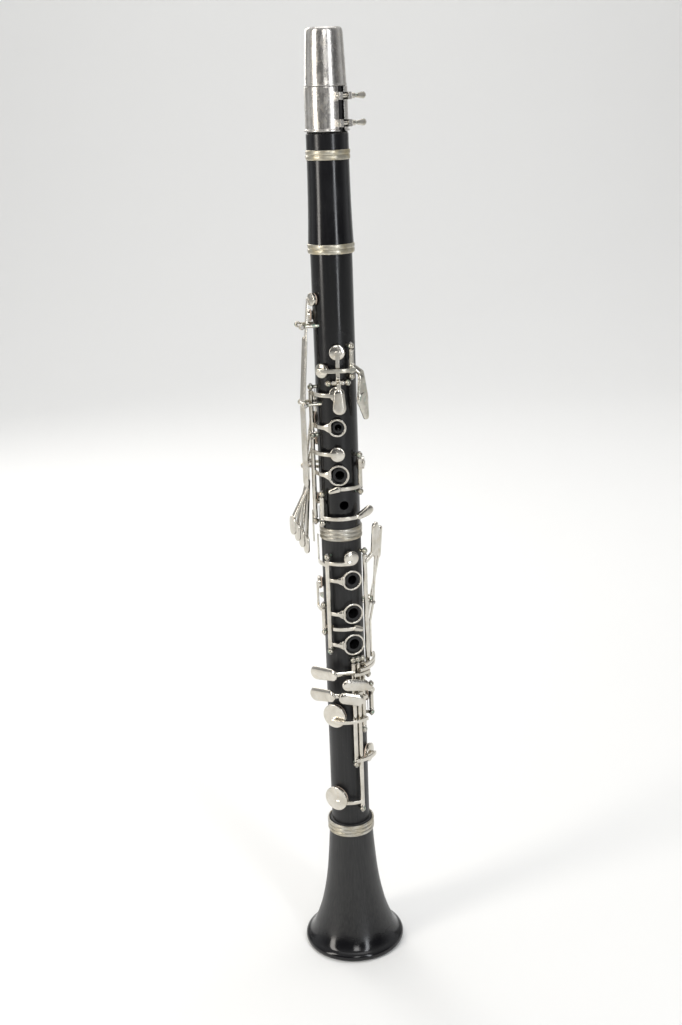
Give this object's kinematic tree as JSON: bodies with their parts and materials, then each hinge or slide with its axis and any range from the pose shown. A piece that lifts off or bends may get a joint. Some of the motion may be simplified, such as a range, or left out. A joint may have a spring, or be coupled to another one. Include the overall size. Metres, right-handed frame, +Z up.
{
  "type": "clarinet",
  "caption": "B flat clarinet with ring keys on two black joints, flared bell, tuning barrel, mouthpiece with ligature and cap, standing on its bell.",
  "frame": {"origin": "centre of the bell rim, on the face that it stands on", "axes": "+Z up the bore to the mouthpiece, -Y the front with the finger holes, +X to the right of a viewer who faces the holes"},
  "size_m": [0.0766, 0.0766, 0.6798],
  "materials": {
    "black_wood": "oiled black grenadilla wood, satin to polished",
    "black_ebonite": "polished black ebonite",
    "plated_key": "nickel plating, polished and a little worn",
    "plated_ring": "dull nickel plating with handling marks",
    "steel": "blued and bright steel",
    "pad_skin": "fish-skin pads",
    "cork": "waxed cork",
    "cane": "planed reed cane"
  },
  "bodies": {
    "root": {"upper_joint": "black_wood", "lower_joint": "black_wood", "bell": "black_wood", "bell_ring": "plated_ring", "lower_joint_ring": "plated_ring", "tenon_corks": "cork", "key_posts": "plated_key", "hinge_rods": "steel", "needle_springs": "steel", "thumb_rest": "plated_key", "thumb_rest_screws": "steel", "tone_hole_tubes": "black_wood"},
    "barrel": {"barrel": "black_wood", "barrel_rings": "plated_ring", "mouthpiece": "black_ebonite", "mouthpiece_cork": "cork", "reed": "cane", "ligature": "plated_ring"},
    "ligature_screw_upper": {"ligature_screw_upper": "plated_ring"},
    "ligature_screw_lower": {"ligature_screw_lower": "plated_ring"},
    "mouthpiece_cap": {"mouthpiece_cap": "plated_ring"},
    "register_key": {"register_key": "plated_key", "register_pad": "pad_skin"},
    "thumb_ring_key": {"thumb_ring_key": "plated_key"},
    "upper_ring_key": {"upper_ring_key": "plated_key", "upper_ring_pad": "pad_skin"},
    "bridge_ring_key": {"bridge_ring_key": "plated_key", "bridge_pad": "pad_skin"},
    "a_key": {"a_key": "plated_key", "a_pad": "pad_skin"},
    "g_sharp_key": {"g_sharp_key": "plated_key", "g_sharp_pad": "pad_skin"},
    "side_key_1": {"side_key_1": "plated_key", "side_pad_1": "pad_skin"},
    "side_key_2": {"side_key_2": "plated_key", "side_pad_2": "pad_skin"},
    "side_key_3": {"side_key_3": "plated_key", "side_pad_3": "pad_skin"},
    "side_key_4": {"side_key_4": "plated_key", "side_pad_4": "pad_skin"},
    "c_sharp_key": {"c_sharp_key": "plated_key", "c_sharp_pad": "pad_skin"},
    "e_flat_sliver_key": {"e_flat_sliver_key": "plated_key", "e_flat_pad": "pad_skin"},
    "lower_ring_key": {"lower_ring_key": "plated_key", "lower_ring_pad": "pad_skin"},
    "f_sharp_sliver_key": {"f_sharp_sliver_key": "plated_key", "f_sharp_sliver_pad": "pad_skin"},
    "f_c_key": {"f_c_key": "plated_key", "f_c_pad": "pad_skin"},
    "e_b_key": {"e_b_key": "plated_key", "e_b_pad": "pad_skin"},
    "f_sharp_c_sharp_key": {"f_sharp_c_sharp_key": "plated_key", "f_sharp_c_sharp_pad": "pad_skin"},
    "a_flat_key": {"a_flat_key": "plated_key", "a_flat_pad": "pad_skin"},
    "lh_f_c_lever": {"lh_f_c_lever": "plated_key"},
    "lh_e_b_lever": {"lh_e_b_lever": "plated_key"},
    "lh_f_sharp_lever": {"lh_f_sharp_lever": "plated_key"}
  },
  "joints": [
    {"name": "barrel_slide", "type": "slide", "parent": "root", "child": "barrel", "axis": [0, 0, 1], "range_m": [0, 0.003]},
    {"name": "cap_slide", "type": "slide", "parent": "barrel", "child": "mouthpiece_cap", "axis": [0, 0, 1], "range_m": [0, 0.05]},
    {"name": "ligature_screw_upper_turn", "type": "hinge", "parent": "barrel", "child": "ligature_screw_upper", "pos_m": [0.01138, -0.01138, 0.637], "axis": [0.7071, 0.7071, 0], "continuous": true},
    {"name": "ligature_screw_lower_turn", "type": "hinge", "parent": "barrel", "child": "ligature_screw_lower", "pos_m": [0.01138, -0.01138, 0.62], "axis": [0.7071, 0.7071, 0], "continuous": true},
    {"name": "register_key_turn", "type": "hinge", "parent": "root", "child": "register_key", "pos_m": [0, 0.0185, 0.452], "axis": [-1, 0, 0], "range_deg": [0, 5], "stiffness_Nm_per_rad": 0.02, "springref_deg": -22.92},
    {"name": "thumb_ring_key_turn", "type": "hinge", "parent": "root", "child": "thumb_ring_key", "pos_m": [-0.01417, 0.01189, 0.4245], "axis": [0, 0, -1], "range_deg": [0, 3.3], "stiffness_Nm_per_rad": 0.02, "springref_deg": -22.92},
    {"name": "upper_ring_key_turn", "type": "hinge", "parent": "root", "child": "upper_ring_key", "pos_m": [-0.01769, -0.00541, 0.39625], "axis": [0, 0, 1], "range_deg": [0, 3.3], "stiffness_Nm_per_rad": 0.02, "springref_deg": -22.92},
    {"name": "bridge_ring_key_turn", "type": "hinge", "parent": "root", "child": "bridge_ring_key", "pos_m": [-0.01769, -0.00541, 0.39625], "axis": [0, 0, 1], "range_deg": [0, 3.3], "stiffness_Nm_per_rad": 0.02, "springref_deg": -22.92},
    {"name": "a_key_turn", "type": "hinge", "parent": "root", "child": "a_key", "pos_m": [0.0015, -0.01714, 0.4495], "axis": [0.9962, 0.0872, 0], "range_deg": [0, 5], "stiffness_Nm_per_rad": 0.02, "springref_deg": -22.92},
    {"name": "g_sharp_key_turn", "type": "hinge", "parent": "root", "child": "g_sharp_key", "pos_m": [0.01113, -0.01477, 0.464], "axis": [0, 0, 1], "range_deg": [0, 4.5], "stiffness_Nm_per_rad": 0.02, "springref_deg": -22.92},
    {"name": "side_key_1_turn", "type": "hinge", "parent": "root", "child": "side_key_1", "pos_m": [-0.02343, -0.00606, 0.4335], "axis": [0.2504, -0.9681, 0], "range_deg": [0, 1.7], "stiffness_Nm_per_rad": 0.02, "springref_deg": -22.92},
    {"name": "side_key_2_turn", "type": "hinge", "parent": "root", "child": "side_key_2", "pos_m": [-0.02343, -0.00606, 0.4335], "axis": [0.2504, -0.9681, 0], "range_deg": [0, 1.7], "stiffness_Nm_per_rad": 0.02, "springref_deg": -22.92},
    {"name": "side_key_3_turn", "type": "hinge", "parent": "root", "child": "side_key_3", "pos_m": [-0.02274, 0.00828, 0.3865], "axis": [-0.342, -0.9397, 0], "range_deg": [0, 4], "stiffness_Nm_per_rad": 0.02, "springref_deg": -22.92},
    {"name": "side_key_4_turn", "type": "hinge", "parent": "root", "child": "side_key_4", "pos_m": [-0.02274, 0.00828, 0.3865], "axis": [-0.342, -0.9397, 0], "range_deg": [0, 4], "stiffness_Nm_per_rad": 0.02, "springref_deg": -22.92},
    {"name": "c_sharp_key_turn", "type": "hinge", "parent": "root", "child": "c_sharp_key", "pos_m": [-0.01264, -0.01309, 0.35875], "axis": [0, 0, 1], "range_deg": [0, 4], "stiffness_Nm_per_rad": 0.02, "springref_deg": -22.92},
    {"name": "e_flat_sliver_key_turn", "type": "hinge", "parent": "root", "child": "e_flat_sliver_key", "pos_m": [0.01472, -0.0107, 0.38325], "axis": [0, 0, -1], "range_deg": [0, 6], "stiffness_Nm_per_rad": 0.02, "springref_deg": -22.92},
    {"name": "lower_ring_key_turn", "type": "hinge", "parent": "root", "child": "lower_ring_key", "pos_m": [-0.01048, -0.01525, 0.28675], "axis": [0, 0, 1], "range_deg": [0, 4], "stiffness_Nm_per_rad": 0.02, "springref_deg": -22.92},
    {"name": "f_sharp_sliver_key_turn", "type": "hinge", "parent": "root", "child": "f_sharp_sliver_key", "pos_m": [-0.01434, -0.0112, 0.2745], "axis": [0, 0, 1], "range_deg": [0, 5], "stiffness_Nm_per_rad": 0.02, "springref_deg": -22.92},
    {"name": "f_c_key_turn", "type": "hinge", "parent": "root", "child": "f_c_key", "pos_m": [0.01238, -0.01375, 0.21475], "axis": [0, 0, -1], "range_deg": [0, 3.3], "stiffness_Nm_per_rad": 0.02, "springref_deg": -22.92},
    {"name": "e_b_key_turn", "type": "hinge", "parent": "root", "child": "e_b_key", "pos_m": [0.00925, -0.01602, 0.1821], "axis": [0, 0, -1], "range_deg": [0, 3.3], "stiffness_Nm_per_rad": 0.02, "springref_deg": -22.92},
    {"name": "f_sharp_c_sharp_key_turn", "type": "hinge", "parent": "root", "child": "f_sharp_c_sharp_key", "pos_m": [0.00572, -0.01759, 0.20125], "axis": [0, 0, -1], "range_deg": [0, 5], "stiffness_Nm_per_rad": 0.02, "springref_deg": -22.92},
    {"name": "a_flat_key_turn", "type": "hinge", "parent": "root", "child": "a_flat_key", "pos_m": [0.01832, -0.00258, 0.206], "axis": [0, 0, -1], "range_deg": [0, 5], "stiffness_Nm_per_rad": 0.02, "springref_deg": -22.92},
    {"name": "lh_f_c_lever_turn", "type": "hinge", "parent": "root", "child": "lh_f_c_lever", "pos_m": [0.02086, 0.0052, 0.281], "axis": [0.2419, -0.9703, 0], "range_deg": [0, 1.1]},
    {"name": "lh_e_b_lever_turn", "type": "hinge", "parent": "root", "child": "lh_e_b_lever", "pos_m": [0.02086, 0.0052, 0.281], "axis": [0.2419, -0.9703, 0], "range_deg": [0, 1.6]},
    {"name": "lh_f_sharp_lever_turn", "type": "hinge", "parent": "root", "child": "lh_f_sharp_lever", "pos_m": [0.01633, -0.00869, 0.2783], "axis": [0, 0, 1], "range_deg": [0, 12.76]}
  ],
  "couplings": [
    {"joint": "lh_f_c_lever_turn", "follows": "f_c_key_turn", "ratio": 0.3283},
    {"joint": "lh_e_b_lever_turn", "follows": "e_b_key_turn", "ratio": 0.4776},
    {"joint": "lh_f_sharp_lever_turn", "follows": "f_sharp_c_sharp_key_turn", "ratio": 2.5488}
  ]
}
